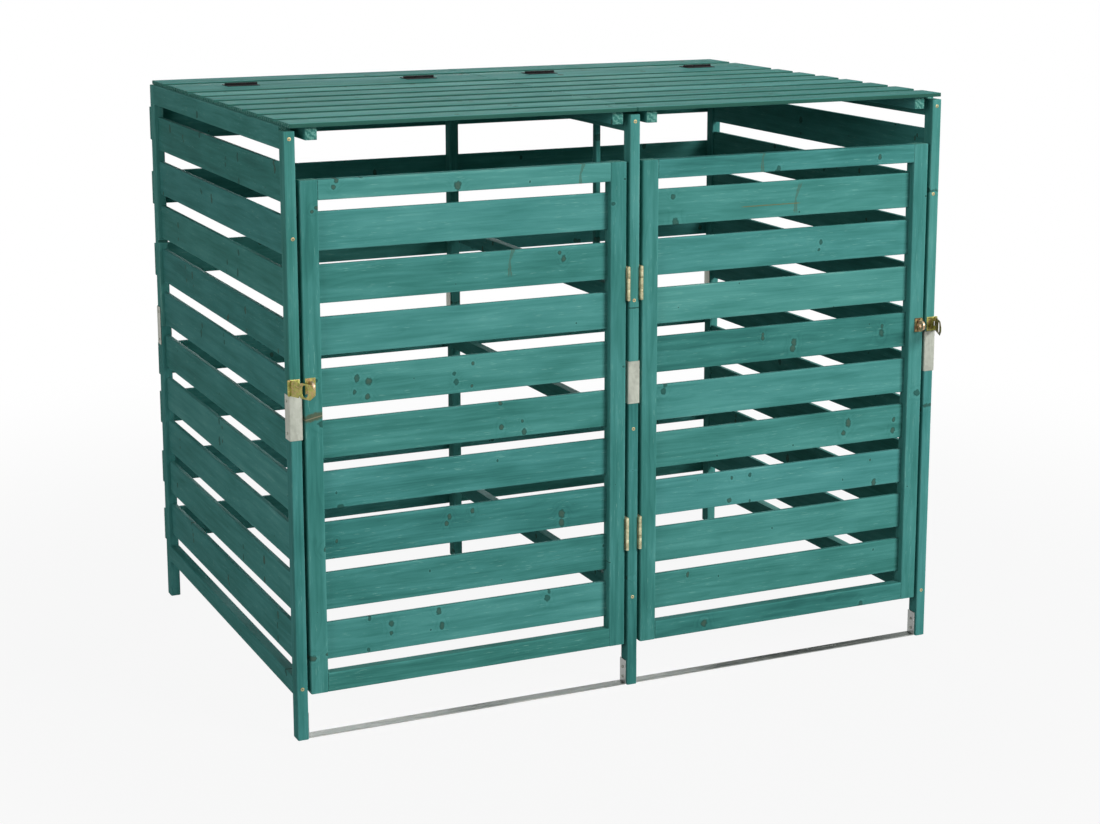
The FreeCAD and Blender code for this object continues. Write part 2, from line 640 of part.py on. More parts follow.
def roof():
    """The roof boards over the left bay, the lid's battens and the lid hinges."""
    sizes = ("lid_hinge_radius", "lid_hinge_length", "lid_hinge_reach", "hinge_screw_spacing")
    fixed_leaf, fixed_screws = hinge_leaf("lid_fixed_leaf", *sizes, outer=True)
    lid_leaf, lid_screws = hinge_leaf("lid_moving_leaf", *sizes, outer=False)
    # the leaves lie open, on the boards on either side of the pin
    to_rear = FreeCAD.Rotation(FreeCAD.Vector(0, 0, 1), FreeCAD.Vector(0, 1, 0), FreeCAD.Vector(-1, 0, 0))
    to_front = FreeCAD.Rotation(FreeCAD.Vector(0, 0, 1), FreeCAD.Vector(0, -1, 0), FreeCAD.Vector(1, 0, 0))
    placed = {"fixed": [], "lid": [], "fixed_screws": [], "lid_screws": [], "pin": []}
    for end, x in (("outer", f"{LEFT} + lid_hinge_outer"), ("inner", "-lid_hinge_inner")):
        spot = (x, LID_PIN_Y, LID_PIN_Z)
        placed["fixed"].append(copy(f"{end}_fixed_leaf", fixed_leaf, *spot, to_rear))
        placed["fixed_screws"].append(copy(f"{end}_fixed_screws", fixed_screws, *spot, to_rear))
        placed["lid"].append(copy(f"{end}_lid_leaf", lid_leaf, *spot, to_front))
        placed["lid_screws"].append(copy(f"{end}_lid_screws", lid_screws, *spot, to_front))
        placed["pin"].append(rod(f"{end}_lid_pin", f"{x} - lid_hinge_length / 2 - pin_end", LID_PIN_Y,
                                 LID_PIN_Z, "pin_radius", "lid_hinge_length + 2 * pin_end", INTO_RIGHT))
    node_both("lid_hinge_fixed_leaves", group("fixed_leaf_pair", placed["fixed"]))
    node_both("lid_hinge_pins", group("lid_pin_pair", placed["pin"]))
    node_pair("lid_hinge_leaves", group("lid_leaf_pair", placed["lid"] + placed["lid_screws"]))

    kinds = {
        "front": roof_board("front_roof_board", rebated=False, scooped=True),
        "middle": roof_board("middle_roof_board", rebated=True, scooped=True),
        "rear": roof_board("rear_roof_board", rebated=True, scooped=False),
    }
    # the outline stands across the board, and its thickness becomes the board's length
    along_front = FreeCAD.Rotation(Y_AXIS, Z_AXIS, X_AXIS)
    boards = []
    for count in range(ROOF_BOARDS):
        kind = "middle"
        if count in (0, LID_BOARDS):
            kind = "front"
        if count in (LID_BOARDS - 1, ROOF_BOARDS - 1):
            kind = "rear"
        start = f"{ROOF_FRONT} + {count} * {BOARD_COVER}"
        if count >= LID_BOARDS:
            start += " + hinge_gap"
        board = copy(f"roof_board_{count}", kinds[kind], LID_LEFT, start, ROOF_BASE, along_front)
        if count == LID_BOARDS - 1:
            board = cut("drilled_lid_board", board, placed["lid_screws"])
        if count == LID_BOARDS:
            board = cut("drilled_fixed_board", board, placed["fixed_screws"])
        boards.append(board)
    node_pair("lid_boards", group("lid_boards_group", boards[:LID_BOARDS]))
    node_both("rear_roof_boards", group("rear_boards", boards[LID_BOARDS:]))

    y = f"({FRONT} + batten_front_setback)"
    length = f"{LID_REAR} - batten_rear_setback - {y}"
    battens = [box(f"batten_{end}", x, y, f"{ROOF_BASE} - batten_height", "batten_width", length,
                   "batten_height")
               for end, x in (("outer", f"{LEFT} + batten_outer_inset"),
                              ("inner", "-batten_inner_inset - batten_width"))]
    node_pair("lid_battens", group("lid_battens_group", battens))
    return placed["fixed_screws"]


def centre_node(name, half, piece):
    node(f"{name}_centre_post_{half}", piece)


def frame():
    """Posts, sleeves and all screws that stay with the frame."""
    side = side_panel()
    middle = divider()
    strap = ground_strap()
    hinge = door()
    clasp = hasp()
    roof_screws = roof()

    def wholes(pairs):
        return [whole for shank, whole in pairs]

    left_screws = []
    middle_screws = []
    corner_sleeves = []
    centre_sleeves = []
    for end, y, rear in (("front", FRONT, False), ("rear", f"{REAR} - post_depth", True)):
        # the rear posts rise as high as the top rails, and carry the fixed roof boards
        upper_length = "upper_post_length + rail_rise" if rear else "upper_post_length"
        shell, sleeve_screws = sleeve(f"{end}_corner_sleeve", LEFT, rear)
        corner_sleeves.append(shell)
        low = [side[end, "bottom"]] + sleeve_screws["low"] + ([] if rear else strap["corner"])
        high = [side[end, "top"], side[end, "slat"]] + sleeve_screws["high"]
        low, high = wholes(low), wholes(high)
        if not rear:
            high.append(clasp)
        for half, piece in post_halves(f"{end}_corner", LEFT, y, upper_length, low, high):
            node(f"{end}_left_post_{half}", piece)
            node(f"{end}_right_post_{half}", mirror(f"mirrored_{end}_{half}", piece))
        left_screws += low + high

        shell, sleeve_screws = sleeve(f"{end}_centre_sleeve", BAY_RIGHT, rear)
        centre_sleeves.append(shell)
        low = wholes([middle[end, "lower"], middle[end, "middle"]] + sleeve_screws["low"])
        high = wholes([middle[end, "upper"], middle[end, "top"]] + sleeve_screws["high"])
        middle_screws += low + high
        if not rear:
            for screws, paired in ((low, wholes(strap["centre"]) + [hinge["lower"]]),
                                   (high, [hinge["upper"]])):
                screws += paired + [mirror(f"{piece.Name}_twin", piece) for piece in paired]
                left_screws += paired
        for half, piece in post_halves(f"{end}_centre", BAY_RIGHT, y, upper_length, low, high):
            centre_node(end, half, piece)

    left_screws += roof_screws
    left = group("left_frame_screws", left_screws)
    both_sides = [left, mirror("right_frame_screws", left)]
    node("frame_screws", group("all_frame_screws", both_sides + middle_screws))
    left = group("left_sleeves", corner_sleeves)
    node("post_sleeves", group("all_sleeves", [left, mirror("right_sleeves", left)] + centre_sleeves))


def make_sheet():
    sheet = DOC.addObject("Spreadsheet::Sheet", "Sizes")
    for row, (name, value) in enumerate(SIZES.items(), start=1):
        sheet.set(f"A{row}", str(value))
        sheet.setAlias(f"A{row}", name)


def check():
    """Stop if anything in the document failed."""
    for item in DOC.Objects:
        if "Invalid" in item.State or "Error" in item.State:
            raise RuntimeError(f"{item.Name} failed: {item.State}")
    for piece in NODES:
        if piece.Shape.isNull() or not piece.Shape.isValid():
            raise RuntimeError(f"{piece.Label} has no valid shape")


def export():
    os.makedirs("parts", exist_ok=True)
    for piece in NODES:
        piece.Shape.exportStep(f"parts/{piece.Label}.step")
    print(f"{len(NODES)} sub-parts, {sum(len(piece.Shape.Solids) for piece in NODES)} solids")


make_sheet()
frame()
back()
turning_staple()
DOC.recompute()
check()
export()
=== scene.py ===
"""Looks of the slatted store for two wheelie bins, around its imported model.

Lengths are in metres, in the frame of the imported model. Sizes with MM in their name are in
millimetres, because the grain of the timber is laid out in millimetres.
"""

import json
import math
import random

import bmesh
import bpy
from mathutils import Matrix, Vector

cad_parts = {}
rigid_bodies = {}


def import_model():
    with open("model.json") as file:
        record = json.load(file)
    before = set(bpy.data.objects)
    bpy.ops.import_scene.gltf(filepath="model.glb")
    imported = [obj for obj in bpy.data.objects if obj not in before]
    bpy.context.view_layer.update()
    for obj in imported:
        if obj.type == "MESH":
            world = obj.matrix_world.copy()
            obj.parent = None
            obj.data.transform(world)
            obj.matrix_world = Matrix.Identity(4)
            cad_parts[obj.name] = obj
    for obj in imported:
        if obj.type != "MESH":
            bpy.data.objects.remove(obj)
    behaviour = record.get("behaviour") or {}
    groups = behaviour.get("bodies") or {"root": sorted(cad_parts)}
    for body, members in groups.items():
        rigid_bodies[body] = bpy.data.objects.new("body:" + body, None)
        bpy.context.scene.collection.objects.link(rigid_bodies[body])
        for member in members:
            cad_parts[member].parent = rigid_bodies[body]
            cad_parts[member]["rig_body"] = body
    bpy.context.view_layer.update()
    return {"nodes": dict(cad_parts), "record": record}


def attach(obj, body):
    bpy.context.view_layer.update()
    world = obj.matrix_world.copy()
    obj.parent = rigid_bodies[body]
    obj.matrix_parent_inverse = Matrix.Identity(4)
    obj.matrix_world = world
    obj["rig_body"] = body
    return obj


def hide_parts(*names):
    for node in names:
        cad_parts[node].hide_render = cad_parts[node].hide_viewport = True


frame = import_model()
SLOTS = {row["node"]: row["material_slot"] for row in frame["record"]["subparts"]}

MM = 1000.0
WHITE = (1, 1, 1, 1)

# camera, fitted to the corners of posts, roof and doors
IMAGE_WIDTH = 1100
SENSOR = 36.0
FOCAL_PIXELS = 2137.5
CAMERA_SPOT = (-1.8899, -4.1977, 1.6118)
CAMERA_YAW, CAMERA_PITCH, CAMERA_ROLL = 24.538, 10.932, -0.078
CAMERA_SHIFT = -0.10

# light: where each lamp is, its width and height, and its power in watts
LAMPS = {
    "key": ((4.4, -7.0, 4.6), (4.0, 3.2), 740),
    "fill": ((-5.2, -3.0, 2.4), (2.6, 2.2), 92),
    "back": ((1.9, 5.4, 1.1), (2.6, 1.2), 170),
    "top": ((1.4, 1.0, 5.2), (2.4, 2.4), 34),
}
AIM = Vector((0, 0, 0.6))
AMBIENT = 0.05

# floor: its grey in the light of the lamps, and how white it looks from the object outwards
FLOOR_REACH = 30.0
FLOOR_GREY = (0.22, 0.22, 0.22, 1)
FLOOR_ROUGHNESS = 0.9
SHADED_WITHIN, WHITE_BEYOND = 1.0, 3.0
SHADED_WHITE = 0.92

# corners closer than this are one, and an edge is sharp where it turns by more than this
MERGE = 1e-6
SHARP = math.radians(38)
SHARP_ON_HEADS = math.radians(30)
# faces that turn by less than this are one
FLAT_TIMBER = math.radians(0.5)
FLAT_METAL = math.radians(1)

# edges of the timber, by a word in the node's name
EDGE_ROUNDS = (("post", 0.0026), ("stile", 0.0026), ("rail", 0.0018), ("slats", 0.0016), ("battens", 0.0010))
OTHER_ROUND = 0.0018
BOARD_ROUND = 0.0011
ROUND_STEPS = 3
END_CHAMFER = 0.0005
WORN_BAND = 0.0035
LEAST_FACE = 0.0001
# wear where a rounding starts, and on the middle of it
STARTING_WEAR, FULL_WEAR = 0.45, 1.0
# the right ends of the roof boards face along X by more than this
ENDWISE = 0.99
# a roof board's face counts as a step or an end where its normal rises less than this, and these faces get
# painted shade
STEEP = 0.5
# how much of the painted shade the ends of the roof boards get, against the steps
END_SHADE_SHARE = 0.1

# steel
BEND_RADIUS = 0.0028
BEND_STEPS = 5
SHEET_EDGE = 0.0003
PLATE_EDGE = 0.0003
EYE_EDGE = 0.0009
SLEEVE_SHEET = 0.0015
STRAP_SHEET = 0.002

# screws: their widths and the depth of their recess, over the radius of the head
HEAD_SIDES = 24
RIM, DOME, NECK, TIP = 0.97, 0.78, 0.5, 0.35
RECESS_ARM, RECESS_WIDTH, RECESS_DEPTH = 0.62, 0.17, 0.45
RECESS_TAPER = 0.7
# the depths of the neck and the tip over the length, and the depth of the rim
NECK_DEPTH, TIP_DEPTH = 0.35, 0.97
RIM_DEPTH = 0.0004
# how far large and small heads stand out, and from which radius a head is large
LARGE_RISE, SMALL_RISE = 0.0003, 0.0002
LARGE_HEAD = 0.003
# corners farther out than this share of the radius are on the head's edge
HEAD_EDGE = 0.9
# short screws in steel parts are of steel too, and all heads on steel parts are smaller
SHORT_SCREW = 0.02
NEAR_STEEL = 0.002
STEEL_HEAD = 0.8

# patterns of noise: how often they vary in a millimetre along each axis, then their detail,
# roughness and twist; the axes of the timber are along, across and into the board
PATTERNS = {
    "knot_wobble": ((0.16, 0.16, 0.16), 2, 0.5, 0.0),
    "pith_wander": ((0.0022, 0.011, 0.011), 2, 0.55, 0.0),
    "broad": ((0.005, 0.085, 0.085), 3, 0.55, 0.4),
    "fine": ((0.022, 0.95, 0.95), 3, 0.65, 0.0),
    "fibre": ((0.09, 4.5, 4.5), 2, 0.6, 0.0),
    "resin": ((0.034, 1.0, 1.0), 1, 0.5, 0.0),
    "blotch": ((0.006, 0.024, 0.024), 3, 0.55, 0.0),
    "coat_smear": ((0.03, 0.03, 0.008), 4, 0.6, 0.6),
    "coat_scratch": ((1.8, 1.8, 0.05), 3, 0.6, 0.0),
    "bar_lines": ((0.01, 0.9, 0.9), 3, 0.6, 0.0),
    "bar_patch": ((0.007, 0.05, 0.05), 4, 0.6, 0.5),
    "plate_cloud": ((0.09, 0.09, 0.09), 4, 0.6, 0.8),
    "plate_hue": ((0.14, 0.14, 0.14), 2, 0.5, 1.5),
    "plate_scratch": ((0.35, 0.35, 3.2), 3, 0.65, 0.3),
}
SPANGLE_PER_MM = 0.16
# what noise is mostly within, and what about half of it is within
NOISE_MOST, NOISE_HALF = (0.2, 0.8), (0.3, 0.7)

# a board's own tone, where the pith of its tree lies, and where its grain starts
TONE_SPREAD = 0.55
TONE_SHARE = 0.17
PITH_ACROSS_MM = 34
PITH_BELOW_MM = (14, 60)
GRAIN_START_MM = 90000
# growth rings: how wide, how sharply they darken and where they break off, and how far they
# wander and bulge round knots
RING_MM = 4.4
RING_POWER = 2.2
RING_BREAK = (1.0, 0.9)
WANDER_MM = 17
BULGE_MM = 9.0

# what each part adds to the lightness of the stain, where it is 0 and where it is 1
SHADES = {"broad": (-0.30, 0.30), "fine": (-0.05, 0.05), "fibre": (-0.02, 0.02),
          "blotch": (-0.34, 0.34), "late": (0.02, -0.06), "halo": (0.0, 0.10)}
SWIRL_SHADE = 0.08
WEAR_SHADE = (0.02, 0.22)
BLUEST = 0.5
# how high each part stands, over the whole relief
HEIGHTS = {"fibre": 0.35, "fine": 0.4, "late": 0.45, "knot": 0.5, "rim": -0.9, "saw": 0.8}
TIMBER_RELIEF, COAT_RELIEF, BAR_RELIEF, PLATE_RELIEF = 0.00035, 0.0002, 0.00015, 0.00008
TIMBER_ROUGH, COAT_ROUGH, BAR_ROUGH = (0.70, 0.84), (0.42, 0.58), (0.28, 0.48)
SAWN_ROUGH = 0.15
TIMBER_SPECULAR = 0.12
COAT_METALLIC, BAR_METALLIC = 0.45, 0.8

# what the spangle, the smears and the scratches add to the lightness of the zinc coating
SPANGLE_SHADE, SMEAR_SHADE, SCRATCH_SHADE = (-0.12, 0.12), (0.1, 0.9), (-0.15, 0.15)
# painted dark reflection: the bar takes a darker colour where its normal rises more than this, from none to
# all
DARK_REFLECTION_UP = (0.4, 0.9)
# plating: its dark, middle and light in the clouds, where the tint and the scratches are, and how
# light and how dull the scratches get
CLOUD_STOPS = (0.28, 0.5, 0.72)
TINTED, SCRATCHED = (0.5, 0.68), (0.6, 0.75)
SCRATCH_COVER, SCRATCH_DULL = 0.5, 0.1

# rows of knots: spacing and start of the rows, least and largest radius, and knots in a row
LARGE_KNOTS = (230.0, 13.7, (2.8, 6.4), 2)
PAIRED_KNOTS = (310.0, 87.3, (2.2, 5.0), 2)
PIN_KNOTS = (190.0, 151.1, (1.0, 2.0), 1)
ROW_PLACE = (0.2, 0.8)
ROW_SCATTER_MM = 6
KNOT_REACH_MM = 38
KNOT_SQUASH = (0.6, 1.0)
FAR = 900.0
# salts that set the random values of rows and of knots apart
ROW_SALT, KNOT_SALT = 0.5, 7.5
# the share of rows that have knots, on the clearest and on the knottiest board, and for pin knots
KNOTTY = (0.08, 0.60)
PIN_SHARE = 0.4
# how a knot lies in the timber, by the distance over its radius
KNOT_WOBBLE = 0.22
KNOT_EDGE = (1.3, 0.65)
KNOT_TONE_WITHIN = 1.4
RIM_INNER, RIM_OUTER = (0.55, 0.88), (1.35, 0.95)
HALO_INNER, HALO_OUTER = (1.0, 1.4), (2.6, 1.5)
SWIRL_EDGE = (4.6, 0.4)
KNOT_RINGS = 16.0

# saw marks on the ends: their slant, how close they are and how much they wobble
SAW_SLANT = 0.8
SAW_PER_MM = 0.5
SAW_WOBBLE = 8.0

# how much each coat covers of what is below it
COVERS = {"resin": 0.6, "knot": 0.85, "knot ring": 0.35, "knot rim": 0.55, "sawn ring": 0.6,
          "scar": 0.92, "spike": 0.6, "bark": 0.75, "pitch": 0.8}
# how much the painted shade covers on the steps and ends of the roof boards, from least to most
STEP_SHADE_COVER = (0.75, 0.95)

# what happened to single boards: how far the mark is from the middle of the board, along and
# across it in millimetres, and its kind
SCAR, SPIKE, PITCHY_SPIKE = 1, 2, 3
MARKS = {
    ("left_door_latch_stile", 0): (50, 0, SCAR),
    ("left_door_slats", 7): (95, 16, SPIKE),
    ("left_door_top_rail", 0): (240, 0, SPIKE),
    ("right_door_top_rail", 0): (-60, 8, SPIKE),
    ("right_door_slats", 8): (28, 0, PITCHY_SPIKE),
}
UNMARKED = (9000, 9000, 0)
# a scar: its slant, its half widths along and across the board, and where its lip is
SCAR_SLANT = 0.2
SCAR_ALONG_MM, SCAR_ACROSS_MM = 8.0, 24.0
SCAR_WOBBLE = 0.6
SCAR_EDGE = (1.25, 0.7)
LIP_SIDE_MM = 1.5
LIP_EDGE_MM = (1.6, 0.4)
# a spike: how it bends, how it widens from its middle, and where it ends
SPIKE_BEND = 0.36
SPIKE_SIDE_MM = 5.0
SPIKE_SPREAD = 0.09
SPIKE_HALF_MM = 1.5
SPIKE_WOBBLE = 1.2
SPIKE_EDGE, BARK_EDGE = (1.3, 0.7), (0.45, 0.95)
SPIKE_END_MM = (34.0, 24.0)
# a line of pitch: how far it is across the board, its half width, and where it starts and ends
PITCH_SIDE_MM = 10.5
PITCH_EDGE_MM = (1.5, 0.5)
PITCH_START_MM, PITCH_END_MM = (-136.0, -124.0), (8.0, 0.0)


def srgb(red, green, blue):
    """A colour given as 0 to 255 values, as the linear colour that shaders take."""
    def linear(value):
        value /= 255
        return value / 12.92 if value <= 0.04045 else ((value + 0.055) / 1.055) ** 2.4
    return (linear(red), linear(green), linear(blue), 1.0)


# the stain from its darkest to its lightest, and what the bluest boards are multiplied by
STAIN = ((0.0, srgb(30, 88, 82)), (0.35, srgb(58, 126, 117)), (0.55, srgb(72, 142, 134)),
         (0.78, srgb(86, 156, 148)), (1.0, srgb(126, 184, 172)))
BLUER = (1.0, 1.02, 1.14, 1.0)
RESIN = srgb(142, 198, 184)
GREEN_HEART, BROWN_HEART = srgb(46, 96, 88), srgb(74, 98, 84)
KNOT_RING = srgb(40, 74, 66)
KNOT_RIM = srgb(34, 78, 70)
SAWN_DARK, SAWN_LIGHT = srgb(62, 128, 119), srgb(116, 178, 165)
SAWN_RING = srgb(48, 104, 94)
# painted shade: the dark colour that the steps and ends of the roof boards are darkened towards
STEP_SHADE = srgb(40, 84, 70)
# colours of the scars, spikes and pitch of single boards
TORN_DARK, TORN_LIGHT = srgb(66, 92, 70), srgb(104, 106, 84)
TORN_LIP = srgb(140, 130, 104)
SPIKE_WOOD = srgb(74, 112, 98)
SPIKE_BARK = srgb(88, 98, 70)
PITCH = srgb(112, 112, 70)

ZINC_COAT = ((0.0, srgb(148, 150, 140)), (0.5, srgb(176, 180, 167)), (1.0, srgb(196, 199, 188)))
BRIGHT_BAR = ((0.3, srgb(128, 131, 130)), (0.5, srgb(160, 163, 160)), (0.7, srgb(190, 192, 188)))
# painted dark reflection: the colours of the bar's upward faces
DARK_REFLECTION_BAR = ((0.38, srgb(58, 68, 62)), (0.52, srgb(88, 96, 90)), (0.64, srgb(150, 152, 144)))


class Value:
    """A socket, with arithmetic that adds the nodes it takes."""

    def __init__(self, nodes, socket):
        self.nodes = nodes
        self.socket = socket

    def __add__(self, other):
        return self.nodes.math("ADD", self, other)

    def __sub__(self, other):
        return self.nodes.math("SUBTRACT", self, other)

    def __rsub__(self, other):
        return self.nodes.math("SUBTRACT", other, self)

    def __mul__(self, other):
        return self.nodes.math("MULTIPLY", self, other)

    def __truediv__(self, other):
        return self.nodes.math("DIVIDE", self, other)

    def __lt__(self, other):
        return self.nodes.math("LESS_THAN", self, other)

    def __gt__(self, other):
        return self.nodes.math("GREATER_THAN", self, other)

    def __abs__(self):
        return self.nodes.math("ABSOLUTE", self)


class Nodes:
    """A node tree that is built with short calls, which take values of nodes and plain ones alike."""

    def __init__(self, tree):
        self.tree = tree

    def put(self, socket, value):
        if isinstance(value, Value):
            self.tree.links.new(value.socket, socket)
        else:
            socket.default_value = value

    def add(self, kind, inputs=(), **settings):
        """A new node with its settings, and its inputs given as (name or number, value) pairs."""
        node = self.tree.nodes.new("ShaderNode" + kind)
        for name, value in settings.items():
            setattr(node, name, value)
        for key, value in inputs:
            self.put(node.inputs[key], value)
        return node

    def value(self, kind, output, inputs=(), **settings):
        """One output of a new node."""
        return Value(self, self.add(kind, inputs, **settings).outputs[output])

    def math(self, operation, *values, clamp=False):
        return self.value("Math", 0, enumerate(values), operation=operation, use_clamp=clamp)

    def least(self, first, second):
        return self.math("MINIMUM", first, second)

    def most(self, first, second):
        return self.math("MAXIMUM", first, second)

    def hypot(self, first, second):
        return self.math("SQRT", first * first + second * second)

    def stretch(self, vector, scale):
        return self.value("VectorMath", 0, [(0, vector), (1, scale)], operation="MULTIPLY")

    def split(self, vector):
        return [Value(self, socket) for socket in self.add("SeparateXYZ", [(0, vector)]).outputs]

    def join(self, *values):
        return self.value("CombineXYZ", 0, enumerate(values))

    def attribute(self, name):
        return self.value("Attribute", "Vector", attribute_name=name)

    def pattern(self, name, place):
        """One of the patterns of noise, at a place in millimetres."""
        per_mm, detail, rough, twist = PATTERNS[name]
        inputs = [("Vector", self.stretch(place, per_mm)), ("Scale", 1.0), ("Detail", detail),
                  ("Roughness", rough), ("Distortion", twist)]
        return self.value("TexNoise", "Fac", inputs)

    def remap(self, value, low, high, to_low=0.0, to_high=1.0, smooth=True):
        return self.value("MapRange", 0, [(0, value), (1, low), (2, high), (3, to_low), (4, to_high)],
                          interpolation_type="SMOOTHSTEP" if smooth else "LINEAR")

    def span(self, value, to_low, to_high):
        """A value from 0 to 1, spread evenly over a range."""
        return self.remap(value, 0, 1, to_low, to_high, smooth=False)

    def mix(self, share, first, second, blend="MIX"):
        return self.value("Mix", 2, [(0, share), (6, first), (7, second)], data_type="RGBA",
                          blend_type=blend)

    def coat(self, name, where, below, colour):
        """A coat of another colour where the mask says."""
        return self.mix(where * COVERS[name], below, colour)

    def ramp(self, value, stops):
        node = self.add("ValToRGB", [(0, value)])
        elements = node.color_ramp.elements
        while len(elements) < len(stops):
            elements.new(0.5)
        for element, (place, colour) in zip(elements, stops):
            element.position = place
            element.color = colour
        return Value(self, node.outputs[0])

    def bump(self, height, distance, strength):
        return self.value("Bump", 0, [("Height", height), ("Distance", distance), ("Strength", strength)])

    def seen(self, *rays):
        """1 for these kinds of ray, which show a thing to the eye, and 0 for the light on others."""
        path = self.add("LightPath").outputs
        shown = 0.0
        for ray in rays:
            shown = self.most(shown, Value(self, path["Is {} Ray".format(ray)]))
        return shown


class Look(Nodes):
    """The nodes of a material."""

    def __init__(self, name):
        self.material = bpy.data.materials.new(name)
        self.material.use_nodes = True
        super().__init__(self.material.node_tree)
        self.shader = self.tree.nodes["Principled BSDF"]

    def surface(self, **inputs):
        for name, value in inputs.items():
            self.put(self.shader.inputs[name.replace("_", " ")], value)
        return self.material


def knot_rows(look, along, across, kind, share):
    """Rows of knots across a board: how near the nearest knot is, and a random value of its row.

    The distance is over the knot's radius, so it is less than 1 inside a knot.
    """
    spacing, start, radii, count = kind
    stretch = (along + start) / spacing
    cell = look.math("FLOOR", stretch)

    def chances(salt):
        spot = look.join(cell, start, salt)
        return look.split(look.value("TexWhiteNoise", "Color", [("Vector", spot)], noise_dimensions="3D"))

    place, shown, tone = chances(ROW_SALT)
    row = (stretch - cell - look.span(place, *ROW_PLACE)) * spacing
    nearest = FAR
    for number in range(count):
        side, size, slip = chances(KNOT_SALT + number)
        off_along = row + look.span(slip, -ROW_SCATTER_MM, ROW_SCATTER_MM)
        off_across = across - look.span(side, -KNOT_REACH_MM, KNOT_REACH_MM)
        off_across = off_across * look.span(slip, *KNOT_SQUASH)
        nearest = look.least(nearest, look.hypot(off_along, off_across) / look.span(size, *radii))
    return nearest + (1.0 - (shown < share)) * FAR, tone


def marked(look, colour, wobble, fibre):
    """The scars and the spikes of split knots that single boards have, painted over their colour."""
    along, across, kind = look.split(look.attribute("mark"))

    # a torn scar across the board, with a pale lip
    scar = kind < SCAR + 0.5
    slanted = along - across * SCAR_SLANT
    depth = look.hypot(slanted / SCAR_ALONG_MM, across / SCAR_ACROSS_MM) + wobble * SCAR_WOBBLE
    torn = look.mix(look.remap(fibre, 0.42, 0.6), TORN_DARK, TORN_LIGHT)
    torn = look.mix(look.remap(abs(slanted + LIP_SIDE_MM), *LIP_EDGE_MM), torn, TORN_LIP)
    colour = look.coat("scar", scar * look.remap(depth, *SCAR_EDGE), colour, torn)

    # a knot that was cut along its branch, edged with bark
    spike = kind > SPIKE - 0.5
    away = abs(across)
    bend = look.most(across, 0.0) * SPIKE_BEND - SPIKE_SIDE_MM
    ratio = abs(along - bend) / (away * SPIKE_SPREAD + SPIKE_HALF_MM) + wobble * SPIKE_WOBBLE
    inside = spike * look.remap(away, *SPIKE_END_MM) * look.remap(ratio, *SPIKE_EDGE)
    colour = look.coat("spike", inside, colour, SPIKE_WOOD)
    colour = look.coat("bark", inside * look.remap(ratio, *BARK_EDGE), colour, SPIKE_BARK)

    # a line of pitch that runs from it along the board
    pitchy = kind > PITCHY_SPIKE - 0.5
    line = look.remap(abs(across + (wobble + PITCH_SIDE_MM)), *PITCH_EDGE_MM)
    line = line * look.remap(along, *PITCH_START_MM) * look.remap(along, *PITCH_END_MM) * pitchy
    return look.coat("pitch", line, colour, PITCH)


